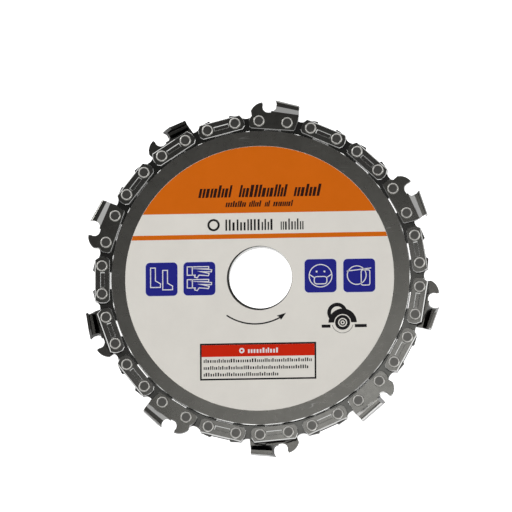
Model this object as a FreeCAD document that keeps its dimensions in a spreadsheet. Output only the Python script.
import FreeCAD
import Part
import Sketcher
import math
import os

# Chain carving disc for an angle grinder.
# Frame: origin at the middle of the arbor bore, half way through the disc's thickness.
# +Z is the disc's axis and points out of the labelled side.
#
# A link's own frame has its origin half way between the link's two rivets, X towards the
# trailing end, Y outwards along the disc's radius and Z along the disc's axis.

# name, size in millimetres (angles in degrees), what it is
DIMENSIONS = [
    ("bore_dia", 22.23, "arbor bore, the 7/8 inch size"),
    ("bore_chamfer", 0.2, "chamfer at both mouths of the bore"),
    ("rim_dia", 106.0, "outside of the two side plates"),
    ("rim_chamfer", 0.25, "chamfer on the outer edge of a side plate"),
    ("plate_thick", 1.2, "one side plate"),
    ("stack_half", 1.95, "outer face of a side plate, from the mid plane"),
    ("core_dia", 95.0, "core plate, which sets the depth of the groove"),
    ("core_half", 0.75, "face of the core plate, from the mid plane; half the groove's width"),
    ("rivet_count", 6, "disc rivets that hold the three plates together"),
    ("rivet_circle", 36.0, "radius of the circle of disc rivets"),
    ("rivet_shank", 2.0, "radius of a disc rivet between its two heads"),
    ("rivet_flush", 3.2, "radius of a disc rivet where it is flush with a side plate"),
    ("rivet_neck", 1.05, "where a disc rivet's conical head starts, from the mid plane"),
    ("label_dia", 95.2, "printed label"),
    ("label_hole", 23.2, "hole in the label"),
    ("label_thick", 0.15, "printed label"),
    ("label_shift_x", -0.35, "the label is stuck on a little off centre"),
    ("label_shift_y", -0.25, "the label is stuck on a little off centre"),
    ("label_turn", 0.65, "the label is stuck on a little askew"),
    ("link_count", 19, "pairs of side links, and drive links, in the loop"),
    ("first_angle", 85.85, "place of side link pair 1 round the disc, from +X"),
    ("pitch_radius", 56.43, "circle through the chain rivets' centres"),
    ("side_half", 5.02, "half the distance between the two rivets of a side link"),
    ("drive_reach", 4.3, "half the distance between the two rivets of a drive link"),
    ("drive_half", 0.635, "half a drive link's thickness, which is the chain's gauge"),
    ("side_inner", 0.68, "inner face of a side link, from the mid plane"),
    ("side_thick", 1.25, "side link"),
    ("edge_break", 0.18, "broken outer edges of the stamped links"),
    ("hub_radius", 2.2, "chain rivet inside the drive link"),
    ("hub_hole", 4.6, "hole in a drive link"),
    ("hub_half", 0.67, "half length of a chain rivet's hub"),
    ("pin_radius", 1.6, "chain rivet where it is pressed in a side link"),
    ("pin_dia", 3.2, "rivet hole in a side link"),
    ("head_foot", 2.1, "spun head of a chain rivet, where it sits on the side link"),
    ("head_radius", 1.92, "spun head of a chain rivet, below its raised rim"),
    ("head_rise", 0.55, "top of the spun head's raised rim above the side link"),
    ("head_lip", 0.2, "radius of the spun head's raised rim, and depth of the hollow in it"),
    ("strap_top", 2.6, "upper edge of a tie strap"),
    ("strap_bevel", 0.32, "bevel along a tie strap's upper edge"),
    ("strap_flat", 7.3, "half length of a tie strap's upper edge"),
    ("strap_bottom", 2.75, "lower edge of a side link, below the rivets"),
    ("strap_foot", 7.2, "half length of a tie strap's lower edge"),
    ("sole_x", 8.2, "lower corner of a tie strap's end"),
    ("sole_y", 1.75, "lower corner of a tie strap's end"),
    ("bulge_x", 8.4, "widest place of a tie strap"),
    ("bulge_y", 0.6, "widest place of a tie strap"),
    ("slope_x", 8.3, "where a tie strap's end starts to slope in"),
    ("slope_y", 0.8, "where a tie strap's end starts to slope in"),
    ("coin_half", 2.75, "half length of the coined channel in a tie strap"),
    ("coin_top", 0.6, "upper edge of the coined channel"),
    ("coin_bottom", 1.0, "lower edge of the coined channel"),
    ("coin_depth", 0.25, "depth of the coined channel"),
    ("coin_slope", 45.0, "slope of the coined channel's sides"),
    ("ear_outer", 6.1, "outer top corner of a drive link's ear"),
    ("ear_inner", 2.5, "inner top corner of a drive link's ear"),
    ("ear_top", 3.1, "top of a drive link's ear at its outer corner"),
    ("ear_low", 2.9, "top of a drive link's ear at its inner corner"),
    ("scoop_round", 2.95, "hollow between a drive link's ears"),
    ("shoulder_x", 6.6, "where a drive link's round end meets its ear"),
    ("shoulder_y", 2.225, "where a drive link's round end meets its ear"),
    ("hip_x", 6.2, "where a drive link's round end meets its tang"),
    ("hip_y", 2.575, "where a drive link's round end meets its tang"),
    ("drive_round", 3.2, "round end of a drive link"),
    ("tang_x", 4.1, "side of a drive link's tang"),
    ("tang_y", 6.1, "side of a drive link's tang"),
    ("tip_x", 1.4, "lower end of a drive link's tang"),
    ("tip_y", 7.4, "lower end of a drive link's tang"),
    ("toe_x", 7.3, "front lower corner of a cutter"),
    ("toe_round", 1.25, "front lower corner of a cutter"),
    ("nose_x", 8.5, "front end of a cutter, above its lower corner"),
    ("nose_y", 1.4, "front end of a cutter, above its lower corner"),
    ("brow_x", 8.3, "front end of a cutter, below its depth gauge"),
    ("brow_y", 1.0, "front end of a cutter, below its depth gauge"),
    ("nose_round", 3.0, "front end of a cutter"),
    ("notch_x", 7.8, "notch at the foot of the depth gauge"),
    ("notch_y", 1.75, "notch at the foot of the depth gauge"),
    ("gauge_x", 8.27, "start of the depth gauge's rounded back"),
    ("gauge_y", 3.44, "start of the depth gauge's rounded back"),
    ("gauge_round", 5.0, "depth gauge's rounded back"),
    ("peak_x", 4.36, "tip of the depth gauge"),
    ("peak_y", 6.9, "tip of the depth gauge"),
    ("throat_x", 4.05, "upper end of the gullet's round"),
    ("throat_y", 6.0, "upper end of the gullet's round"),
    ("gullet_x", 1.9, "lower end of the gullet's round"),
    ("gullet_y", 3.36, "lower end of the gullet's round"),
    ("gullet_round", 2.05, "gullet between depth gauge and tooth"),
    ("heel_x", 7.55, "rear lower corner of a cutter"),
    ("heel_cut", 0.4, "chamfer at the rear lower corner"),
    ("rear_y", 1.2, "where a cutter's rear end starts to slope in"),
    ("tooth_front", -1.0, "start of the tooth, before it is filed"),
    ("tooth_low", -2.0, "start of the low tooth, before its slanted front is ground"),
    ("tooth_rear", 8.95, "rear end of the tooth"),
    ("root_y", 2.2, "lower edge of the tooth, inside the side plate"),
    ("bend_sink", 0.35, "side plate's own upper edge below the bend line"),
    ("bend_front", 3.82, "bend line at the tooth's start"),
    ("bend_low", 3.9, "bend line at the low tooth's start"),
    ("bend_rear", 3.07, "bend line at the tooth's rear end"),
    ("crease_front", 5.7, "top of the flared side at the tooth's start"),
    ("crease_low", 5.0, "top of the flared side at the low tooth's start"),
    ("crease_rear", 4.35, "top of the flared side at the tooth's rear end"),
    ("crest_front", 8.07, "top plate at the tooth's start"),
    ("crest_low", 6.7, "top plate at the low tooth's start"),
    ("crest_rear", 6.3, "top plate at the tooth's rear end"),
    ("flare_front", 3.27, "outside of the tooth at its start"),
    ("flare_low", 3.3, "outside of the low tooth at its start"),
    ("flare_rear", 2.95, "outside of the tooth at its rear end"),
    ("corner_front", 1.0, "round working corner at the tooth's start"),
    ("corner_low", 0.9, "round corner at the low tooth's start"),
    ("corner_rear", 0.8, "round working corner at the tooth's rear end"),
    ("top_reach", 1.1, "top plate beyond the mid plane"),
    ("top_thick", 0.9, "top plate"),
    ("wall_thick", 1.1, "flared side of the tooth"),
    ("inner_round", 0.25, "inner corner under the top plate"),
    ("file_round", 2.1, "radius of the file that hollows the tooth's front"),
    ("file_angle", 30.0, "filing angle of the top plate"),
    ("file_x", -1.6, "file's axis at the working corner"),
    ("file_y", 6.0, "file's axis above the rivets"),
    ("file_z", 3.25, "where along the file's axis file_x is measured"),
    ("file_edge", 1.233, "cutting edge, ahead of the file's axis"),
    ("file_rise", 1.7, "where the filed hollow runs out above the file's axis"),
    ("file_clear", 5.0, "height cleared above the file's axis"),
    ("file_reach", 30.0, "length of the file's cut"),
    ("web_rear", 1.6, "rear end of the low tooth's solid front"),
    ("web_foot", 3.6, "foot of the low tooth's solid front"),
    ("web_high", 6.0, "top of the low tooth's solid front, inside its top plate"),
    ("web_wide", 3.6, "low tooth's solid front, along the disc's axis"),
    ("slant_near", 0.05, "slanted front of the low tooth, at its outer end"),
    ("slant_high", 3.5, "slanted front of the low tooth, at its outer end"),
    ("slant_far", 1.8, "slanted front of the low tooth, at its inner end"),
    ("slant_deep", 1.2, "slanted front of the low tooth, at its inner end"),
    ("slant_out", 3.0, "how far ahead the slanted cut clears the low tooth"),
    ("slant_foot", 3.9, "where the slanted cut starts, above the rivets"),
    ("slant_rise", 5.0, "height of the slanted cut"),
]

FRONT_CUTTERS = (1, 4, 8, 12, 16)
REAR_CUTTERS = (6, 10, 14, 18)
LOW_CUTTERS = (8,)
FRONT = 1
REAR = -1
LEFT = 1
RIGHT = -1
NEAR_ZERO = 1e-6
OUT_DIR = "parts"


def make_sheet(doc):
    """Spreadsheet with one named cell for each driving dimension."""
    sheet = doc.addObject("Spreadsheet::Sheet", "Dims")
    for row, (name, number, note) in enumerate(DIMENSIONS, start=1):
        sheet.set("A%d" % row, note)
        sheet.set("B%d" % row, str(number))
        sheet.setAlias("B%d" % row, name)
    doc.recompute()
    return sheet


DOC = FreeCAD.newDocument("CarvingDisc")
SHEET = make_sheet(DOC)


def size(name):
    """Number that the sheet holds under a name."""
    return float(getattr(SHEET, name))


def value(terms):
    """Number for a signed sum of sheet names, such as 'strap_half -toe_round'."""
    total = 0.0
    for term in terms.split():
        sign = -1.0 if term.startswith("-") else 1.0
        total += sign * size(term.lstrip("+-"))
    return total


def formula(terms):
    """The same signed sum as an expression on the sheet."""
    parts = []
    for term in terms.split():
        sign = "-" if term.startswith("-") else "+"
        parts.append("%s Dims.%s" % (sign, term.lstrip("+-")))
    return "0 " + " ".join(parts)


def flip(terms):
    """A signed sum with every sign turned round."""
    turned = []
    for term in terms.split():
        turned.append(term[1:] if term.startswith("-") else "-" + term.lstrip("+"))
    return " ".join(turned)


def facing(side, terms):
    """A height above the mid plane, on the front or the rear side."""
    return terms if side == FRONT else flip(terms)


def new_body(label):
    body = DOC.addObject("PartDesign::Body", label)
    body.Label = label
    body.AllowCompound = True
    return body


def origin_feature(body, role):
    for feature in body.Origin.OriginFeatures:
        if feature.Role == role:
            return feature
    raise RuntimeError("no " + role)


def new_sketch(body, role, offset=""):
    """Sketch on one of the body's origin planes, raised along the plane's normal."""
    sketch = body.newObject("Sketcher::SketchObject", body.Label + "_sketch")
    sketch.AttachmentSupport = [(origin_feature(body, role), "")]
    sketch.MapMode = "FlatFace"
    if offset:
        sketch.setExpression("AttachmentOffset.Base.z", formula(offset))
    return sketch


def bind_point(sketch, geometry, place, x_terms, y_terms):
    """Hold a point of the sketch at two signed sums of sheet names ('' is the axis)."""
    for kind, axis, terms in (("DistanceX", -2, x_terms), ("DistanceY", -1, y_terms)):
        if not terms:
            sketch.addConstraint(Sketcher.Constraint("PointOnObject", geometry, place, axis))
            continue
        held = sketch.addConstraint(Sketcher.Constraint(kind, geometry, place, value(terms)))
        sketch.setExpression("Constraints[%d]" % held, formula(terms))


def arc_through(start, end, radius, turn):
    """The shorter arc between two points, turning LEFT or RIGHT on the way."""
    chord = end - start
    rise = math.sqrt(radius ** 2 - chord.Length ** 2 / 4)
    normal = FreeCAD.Vector(-chord.y, chord.x, 0) / chord.Length
    centre = (start + end) / 2 + normal * rise * turn
    first, last = (start, end) if turn == LEFT else (end, start)
    angles = [math.atan2(p.y - centre.y, p.x - centre.x) for p in (first, last)]
    circle = Part.Circle(centre, FreeCAD.Vector(0, 0, 1), radius)
    return Part.ArcOfCircle(circle, angles[0], angles[1])


def draw_outline(sketch, path):
    """Closed outline. A corner is (x, y), joined to the corner before it by a line, or
    (x, y, radius, turn), joined by an arc."""
    corners = [FreeCAD.Vector(value(c[0]), value(c[1]), 0) for c in path]
    ends = []
    for index, corner in enumerate(path):
        start = corners[index - 1]
        if len(corner) == 2:
            line = Part.LineSegment(start, corners[index])
            ends.append((sketch.addGeometry(line, False), 1, 2))
            continue
        arc = arc_through(start, corners[index], value(corner[2]), corner[3])
        made = sketch.addGeometry(arc, False)
        ends.append((made, 1, 2) if corner[3] == LEFT else (made, 2, 1))
        held = sketch.addConstraint(Sketcher.Constraint("Radius", made, value(corner[2])))
        sketch.setExpression("Constraints[%d]" % held, formula(corner[2]))
    for index, (geometry, first, last) in enumerate(ends):
        before = ends[index - 1]
        sketch.addConstraint(Sketcher.Constraint("Coincident", before[0], before[2], geometry, first))
        bind_point(sketch, geometry, last, path[index][0], path[index][1])


def draw_circle(sketch, x_terms, y_terms, diameter):
    """Circle whose centre and diameter come from the sheet."""
    centre = FreeCAD.Vector(value(x_terms), value(y_terms), 0)
    circle = Part.Circle(centre, FreeCAD.Vector(0, 0, 1), size(diameter) / 2)
    made = sketch.addGeometry(circle, False)
    bind_point(sketch, made, 3, x_terms, y_terms)
    held = sketch.addConstraint(Sketcher.Constraint("Diameter", made, size(diameter)))
    sketch.setExpression("Constraints[%d]" % held, "Dims." + diameter)


def pad(body, sketch, length, side=FRONT):
    """Material grown from a sketch, away from the mid plane on the given side."""
    feature = body.newObject("PartDesign::Pad", body.Label + "_pad")
    feature.Profile = (sketch, [""])
    feature.Reversed = side == REAR
    feature.setExpression("Length", formula(length))
    DOC.recompute()
    return feature


def pocket(body, sketch, length, side=FRONT, midplane=False):
    """Cut from a sketch towards the mid plane, or both ways from the sketch."""
    before = body.Shape.Volume
    feature = body.newObject("PartDesign::Pocket", body.Label + "_pocket")
    feature.Profile = (sketch, [""])
    feature.Reversed = side == REAR
    feature.Midplane = midplane
    feature.setExpression("Length", formula(length))
    DOC.recompute()
    if body.Shape.Volume > before - NEAR_ZERO:
        raise RuntimeError(body.Label + ": a pocket cuts nothing")
    return feature


def level_edges(shape, height, wanted):
    """Names of the edges that lie at a height and whose middle point is wanted."""
    names = []
    for number, edge in enumerate(shape.Edges, start=1):
        box = edge.BoundBox
        level = abs(box.ZMin - height) < NEAR_ZERO and abs(box.ZMax - height) < NEAR_ZERO
        middle = edge.valueAt((edge.FirstParameter + edge.LastParameter) / 2)
        if level and wanted(edge, middle):
            names.append("Edge%d" % number)
    return names


def is_open_edge(edge, middle):
    """True for every edge but a full circle, which is a rivet hole."""
    return not edge.isClosed()


def is_top_edge(edge, middle):
    """True for the straight upper edge of a tie strap."""
    return middle.y > size("strap_top") - NEAR_ZERO and abs(middle.x) < NEAR_ZERO


def is_end_or_lower_edge(edge, middle):
    """True for the edges of a tie strap other than its rivet holes and its top bevel."""
    return is_open_edge(edge, middle) and middle.y < size("strap_top") - size("strap_bevel") - NEAR_ZERO


def is_clear_of_tooth(edge, middle):
    """True for the edges of a cutter's side plate that its tooth leaves bare."""
    over_tooth = middle.x > -size("gullet_x") and middle.y > size("root_y")
    return is_open_edge(edge, middle) and not over_tooth


def break_edges(body, height, breadth, wanted):
    """Small chamfer along the wanted edges at a height."""
    base = body.Tip
    feature = body.newObject("PartDesign::Chamfer", body.Label + "_chamfer")
    feature.Base = (base, level_edges(base.Shape, height, wanted))
    feature.setExpression("Size", "Dims." + breadth)
    DOC.recompute()
    return feature


# --- the disc ---------------------------------------------------------------------------


def turn_round(body, sketch, kind):
    """Revolution or Groove of a half section about the sketch's own vertical axis."""
    feature = body.newObject("PartDesign::" + kind, body.Label + "_" + kind.lower())
    feature.Profile = (sketch, [""])
    feature.ReferenceAxis = (sketch, ["V_Axis"])
    feature.Angle = 360
    DOC.recompute()
    return feature


def repeat_round(body, feature, count):
    """Polar pattern of a feature about the disc's axis."""
    pattern = body.newObject("PartDesign::PolarPattern", body.Label + "_pattern")
    pattern.Originals = [feature]
    pattern.Axis = (origin_feature(body, "Z_Axis"), [""])
    pattern.Angle = 360
    pattern.setExpression("Occurrences", "Dims." + count)
    body.Tip = pattern
    DOC.recompute()
    return pattern


def disc_rivet_section(body):
    """Half section of a disc rivet: a shank with a flush cone at each end."""
    sketch = new_sketch(body, "XZ_Plane")
    sketch.setExpression("AttachmentOffset.Base.x", "Dims.rivet_circle")
    draw_outline(sketch, [
        ("", "-stack_half"),
        ("rivet_flush", "-stack_half"),
        ("rivet_shank", "-rivet_neck"),
        ("rivet_shank", "rivet_neck"),
        ("rivet_flush", "stack_half"),
        ("", "stack_half"),
    ])
    return sketch


def make_ring(label, diameter, hole, foot, thick, side=FRONT):
    """Round plate with a hole, grown from a foot height away from the mid plane."""
    body = new_body(label)
    ring = new_sketch(body, "XY_Plane", foot)
    draw_circle(ring, "", "", diameter)
    draw_circle(ring, "", "", hole)
    pad(body, ring, thick, side)
    return body


def drill_for_rivets(body):
    """Holes for the disc rivets, cut as one ring of rivet shapes."""
    before = body.Shape.Volume
    groove = turn_round(body, disc_rivet_section(body), "Groove")
    repeat_round(body, groove, "rivet_count")
    if body.Shape.Volume > before - NEAR_ZERO:
        raise RuntimeError(body.Label + ": the rivet holes cut nothing")


def is_rim(edge, middle):
    return math.hypot(middle.x, middle.y) > size("core_dia") / 2


def is_bore(edge, middle):
    return math.hypot(middle.x, middle.y) < size("label_hole") / 2


def make_side_plate(label, side):
    """Steel side plate with the arbor bore, broken edges and holes for the disc rivets."""
    foot = facing(side, "core_half")
    body = make_ring(label, "rim_dia", "bore_dia", foot, "plate_thick", side)
    break_edges(body, value(facing(side, "stack_half")), "rim_chamfer", is_rim)
    break_edges(body, value(facing(side, "stack_half")), "bore_chamfer", is_bore)
    drill_for_rivets(body)


def make_core_plate():
    """Plate between the side plates. The chain's tangs run in the groove outside it."""
    body = make_ring("core_plate", "core_dia", "bore_dia", "-core_half", "core_half core_half")
    drill_for_rivets(body)


def make_disc_rivets():
    """Rivets with a flush conical head on each side plate."""
    body = new_body("disc_rivets")
    rivet = turn_round(body, disc_rivet_section(body), "Revolution")
    repeat_round(body, rivet, "rivet_count")


def make_label():
    """Printed self-adhesive ring on the front plate, a little off centre and askew."""
    body = make_ring("front_label", "label_dia", "label_hole", "stack_half", "label_thick")
    shift = FreeCAD.Vector(size("label_shift_x"), size("label_shift_y"), 0)
    turn = FreeCAD.Rotation(FreeCAD.Vector(0, 0, 1), size("label_turn"))
    body.Placement = FreeCAD.Placement(shift, turn)


# --- the chain --------------------------------------------------------------------------


def place_link(body, half_pitch, angle):
    """Put a link on the pitch circle, its own Y along the radius at the angle."""
    reach = math.sqrt(size("pitch_radius") ** 2 - half_pitch ** 2)
    turn = FreeCAD.Rotation(FreeCAD.Vector(0, 0, 1), angle - 90)
    body.Placement = FreeCAD.Placement(turn.multVec(FreeCAD.Vector(0, reach, 0)), turn)


def side_angle(number):
    """Angle of a pair of side links; the pairs are numbered clockwise from the front."""
    return size("first_angle") - (number - 1) * 360 / size("link_count")


def mirrored(right_half, top=()):
    """Whole outline from its right half, which runs anticlockwise. The edge across the
    top is a line, or the arc (radius, turn)."""
    left_half = []
    arrival = tuple(top)
    for corner in reversed(right_half):
        left_half.append((flip(corner[0]), corner[1]) + arrival)
        arrival = tuple(corner[2:])
    return right_half + left_half


def add_strap(body, side):
    """Plain side link: a flat plate with a coined channel between its rivets."""
    plate = new_sketch(body, "XY_Plane", facing(side, "side_inner"))
    draw_outline(plate, mirrored([
        ("strap_foot", "-strap_bottom"),
        ("sole_x", "-sole_y"),
        ("bulge_x", "-bulge_y"),
        ("slope_x", "slope_y"),
        ("strap_flat", "strap_top"),
    ]))
    draw_circle(plate, "side_half", "", "pin_dia")
    draw_circle(plate, "-side_half", "", "pin_dia")
    pad(body, plate, "side_thick", side)
    outer_face = facing(side, "side_inner side_thick")
    break_edges(body, value(outer_face), "strap_bevel", is_top_edge)
    break_edges(body, value(outer_face), "edge_break", is_end_or_lower_edge)
    channel = new_sketch(body, "XY_Plane", outer_face)
    draw_outline(channel, mirrored([("coin_half", "-coin_bottom"), ("coin_half", "coin_top")]))
    coined = pocket(body, channel, "coin_depth", side)
    coined.setExpression("TaperAngle", "-Dims.coin_slope")
    DOC.recompute()


def make_straps(label, sides, number):
    """Tie straps at one place in the loop, on both sides or across from a cutter."""
    body = new_body(label)
    for side in sides:
        add_strap(body, side)
    place_link(body, size("side_half"), side_angle(number))


def make_drive_link(number):
    """Centre link: two ears outside, and inside a tang that runs in the disc's groove."""
    body = new_body("drive_link_%02d" % number)
    sketch = new_sketch(body, "XY_Plane", "-drive_half")
    draw_outline(sketch, mirrored([
        ("tip_x", "-tip_y"),
        ("tang_x", "-tang_y"),
        ("hip_x", "-hip_y"),
        ("shoulder_x", "shoulder_y", "drive_round", LEFT),
        ("ear_outer", "ear_top"),
        ("ear_inner", "ear_low"),
    ], top=("scoop_round", RIGHT)))
    draw_circle(sketch, "drive_reach", "", "hub_hole")
    draw_circle(sketch, "-drive_reach", "", "hub_hole")
    pad(body, sketch, "drive_half drive_half")
    half_step = 180 / size("link_count")
    place_link(body, size("drive_reach"), side_angle(number) - half_step)


def draw_cutter_plate(sketch):
    """Side plate of a cutter, from its lower edge round past the depth gauge."""
    draw_outline(sketch, [
        ("-toe_x", "-strap_bottom", "toe_round", LEFT),
        ("heel_x", "-strap_bottom"),
        ("heel_x heel_cut", "-strap_bottom heel_cut"),
        ("tooth_rear", "rear_y"),
        ("tooth_rear", "bend_rear -bend_sink"),
        ("tooth_front", "bend_front -bend_sink"),
        ("-gullet_x", "gullet_y"),
        ("-throat_x", "throat_y", "gullet_round", RIGHT),
        ("-peak_x", "peak_y"),
        ("-gauge_x", "gauge_y", "gauge_round", LEFT),
        ("-notch_x", "notch_y"),
        ("-brow_x", "brow_y"),
        ("-nose_x", "-nose_y", "nose_round", LEFT),
    ])
    draw_circle(sketch, "side_half", "", "pin_dia")
    draw_circle(sketch, "-side_half", "", "pin_dia")


def draw_tooth_section(sketch, side, end):
    """Section across the tooth: side plate, flared side, round corner and top plate.
    The sketch's X is outwards and its Y is along the disc's axis."""
    flare = "flare_" + end
    crest = "crest_" + end
    corner = "corner_" + end
    bend = "bend_" + end
    crease = "crease_" + end
    under = crest + " -top_thick"
    path = [
        ("root_y", "side_inner"),
        (bend, "side_inner"),
        (crease, flare + " -wall_thick"),
        (under + " -inner_round", flare + " -wall_thick"),
        (under, flare + " -wall_thick -inner_round"),
        (under, "-top_reach"),
        (crest, "-top_reach"),
        (crest, flare + " -" + corner),
        (crest + " -" + corner, flare, corner, LEFT),
        (crease, flare),
        (bend, "side_inner side_thick"),
        ("root_y", "side_inner side_thick"),
    ]
    if side == REAR:
        path = [(c[0], flip(c[1])) + ((c[2], RIGHT) if len(c) > 2 else ()) for c in path]
    draw_outline(sketch, path)


def file_tooth(body, side):
    """Hollow front of the tooth, cut by a round file laid across the chain."""
    sketch = new_sketch(body, "XY_Plane")
    turn = FreeCAD.Rotation(FreeCAD.Vector(0, 1, 0), -side * size("file_angle"))
    sketch.AttachmentOffset = FreeCAD.Placement(FreeCAD.Vector(), turn)
    sketch.setExpression("AttachmentOffset.Base.x", "Dims.file_x")
    sketch.setExpression("AttachmentOffset.Base.y", "Dims.file_y")
    sketch.setExpression("AttachmentOffset.Base.z", formula(facing(side, "file_z")))
    draw_outline(sketch, [
        ("-file_round", ""),
        ("", "-file_round", "file_round", LEFT),
        ("file_round", "", "file_round", LEFT),
        ("file_edge", "file_rise", "file_round", LEFT),
        ("file_edge", "file_clear"),
        ("-file_round", "file_clear"),
    ])
    pocket(body, sketch, "file_reach", midplane=True)


def close_low_tooth(body, side):
    """Solid front of the low tooth, ground to a slant that faces the outer side."""
    web = new_sketch(body, "XY_Plane", facing(side, "-top_reach"))
    draw_outline(web, [
        ("tooth_low", "web_foot"),
        ("web_rear", "web_foot"),
        ("web_rear", "web_high"),
        ("tooth_low", "web_high"),
    ])
    pad(body, web, "web_wide", side)
    sketch = new_sketch(body, "XZ_Plane", "-slant_foot")
    draw_outline(sketch, [
        ("-slant_far", facing(side, "-slant_deep")),
        ("slant_near", facing(side, "slant_high")),
        ("-slant_out", facing(side, "slant_high")),
        ("-slant_out", facing(side, "-slant_deep")),
    ])
    pocket(body, sketch, "slant_rise")


def make_cutter(number, side):
    """Side link with a depth gauge and a tooth that curls over the chain."""
    low = number in LOW_CUTTERS
    body = new_body("cutter_%02d" % number)
    plate = new_sketch(body, "XY_Plane", facing(side, "side_inner"))
    draw_cutter_plate(plate)
    pad(body, plate, "side_thick", side)
    outer_face = value(facing(side, "side_inner side_thick"))
    break_edges(body, outer_face, "edge_break", is_clear_of_tooth)
    sections = []
    for end in ("low" if low else "front", "rear"):
        section = new_sketch(body, "YZ_Plane", "tooth_" + end)
        draw_tooth_section(section, side, end)
        sections.append(section)
    tooth = body.newObject("PartDesign::AdditiveLoft", body.Label + "_tooth")
    tooth.Profile = (sections[0], [""])
    tooth.Sections = [(sections[1], [""])]
    tooth.Ruled = True
    DOC.recompute()
    if low:
        close_low_tooth(body, side)
    else:
        file_tooth(body, side)
    place_link(body, size("side_half"), side_angle(number))


def draw_chain_rivet_half(sketch):
    """Half section of a chain rivet: a hub, two pressed shanks and two dished heads."""
    side_face = "side_inner side_thick"
    upper = [
        ("hub_radius", "hub_half"),
        ("pin_radius", "hub_half"),
        ("pin_radius", side_face),
        ("head_foot", side_face),
        ("head_radius", side_face + " head_rise -head_lip"),
        ("head_radius -head_lip", side_face + " head_rise", "head_lip", LEFT),
        ("head_radius -head_lip -head_lip", side_face + " head_rise -head_lip", "head_lip", LEFT),
        ("", side_face + " head_rise -head_lip"),
    ]
    lower = []
    arrival = ()
    for corner in reversed(upper):
        lower.append((corner[0], flip(corner[1])) + arrival)
        arrival = tuple(corner[2:])
    draw_outline(sketch, lower + upper)


def make_chain_rivets(label, end):
    """The rivets at one end of every side link, end being LEFT or RIGHT of its middle."""
    body = new_body(label)
    sketch = new_sketch(body, "XZ_Plane")
    sketch.setExpression("AttachmentOffset.Base.x", "Dims.pitch_radius")
    draw_chain_rivet_half(sketch)
    rivet = turn_round(body, sketch, "Revolution")
    repeat_round(body, rivet, "link_count")
    offset = math.degrees(math.asin(size("side_half") / size("pitch_radius")))
    turn = FreeCAD.Rotation(FreeCAD.Vector(0, 0, 1), side_angle(1) + end * offset)
    body.Placement = FreeCAD.Placement(FreeCAD.Vector(), turn)


def make_disc():
    make_side_plate("front_plate", FRONT)
    make_side_plate("rear_plate", REAR)
    make_core_plate()
    make_disc_rivets()
    make_label()


def make_chain():
    for number in range(1, int(size("link_count")) + 1):
        make_drive_link(number)
        if number in FRONT_CUTTERS:
            make_cutter(number, FRONT)
            make_straps("rear_strap_%02d" % number, (REAR,), number)
        elif number in REAR_CUTTERS:
            make_cutter(number, REAR)
            make_straps("front_strap_%02d" % number, (FRONT,), number)
        else:
            make_straps("tie_straps_%02d" % number, (FRONT, REAR), number)
    make_chain_rivets("leading_rivets", LEFT)
    make_chain_rivets("trailing_rivets", RIGHT)


def check_and_write():
    """Stop at a failed feature or a bad shape, then write one file for each body."""
    DOC.recompute()
    for item in DOC.Objects:
        if "Invalid" in item.State or "Error" in item.State:
            raise RuntimeError(item.Label + " failed: " + ", ".join(item.State))
    os.makedirs(OUT_DIR, exist_ok=True)
    bodies = [item for item in DOC.Objects if item.TypeId == "PartDesign::Body"]
    for body in bodies:
        if body.Shape.isNull() or not body.Shape.isValid():
            raise RuntimeError(body.Label + " has a bad shape")
    for body in bodies:
        body.Shape.exportStep(os.path.join(OUT_DIR, body.Label + ".step"))
        print("%-18s %2d solids %10.2f mm3" % (body.Label, len(body.Shape.Solids), body.Shape.Volume))


make_disc()
make_chain()
check_and_write()
